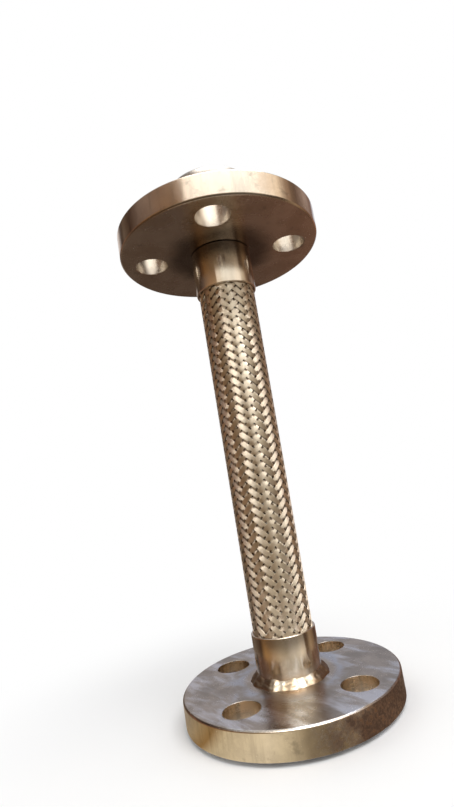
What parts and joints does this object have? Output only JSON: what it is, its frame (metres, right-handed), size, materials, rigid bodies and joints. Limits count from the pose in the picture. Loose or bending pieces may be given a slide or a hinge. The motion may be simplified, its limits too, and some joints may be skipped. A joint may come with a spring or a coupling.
{
  "type": "stainless steel hose assembly",
  "caption": "Short braided stainless steel hose with a fixed bolted flange at one end and a loose, turning flange behind a flared stub at the other.",
  "frame": {"origin": "middle of the fixed flange's gasket face, on the hose axis", "axes": "+Z along the hose towards the loose flange; the fixed flange's bolt holes straddle X and Y"},
  "size_m": [0.0984, 0.0984, 0.25],
  "materials": {
    "forged_steel": "turned and satin",
    "pipe_steel": "pickled, dull",
    "collar_steel": "drawn, semi-bright, fine lines round it",
    "weld_metal": "rippled bead with straw heat tint",
    "tube_steel": "bright rolled strip",
    "braid_wire": "drawn wire, satin sheen"
  },
  "bodies": {
    "hose": {"fixed_flange": "forged_steel", "stub_end": "pipe_steel", "lower_collar": "collar_steel", "upper_collar": "collar_steel", "lower_cap_weld": "weld_metal", "upper_cap_weld": "weld_metal", "fillet_weld": "weld_metal", "corrugated_tube": "tube_steel", "wire_braid": "braid_wire"},
    "turning_flange": {"loose_flange": "forged_steel"}
  },
  "joints": [
    {"name": "flange_turn", "type": "hinge", "parent": "hose", "child": "turning_flange", "pos_m": [0, 0, 0.22175], "axis": [0, 0, 1], "continuous": true}
  ]
}
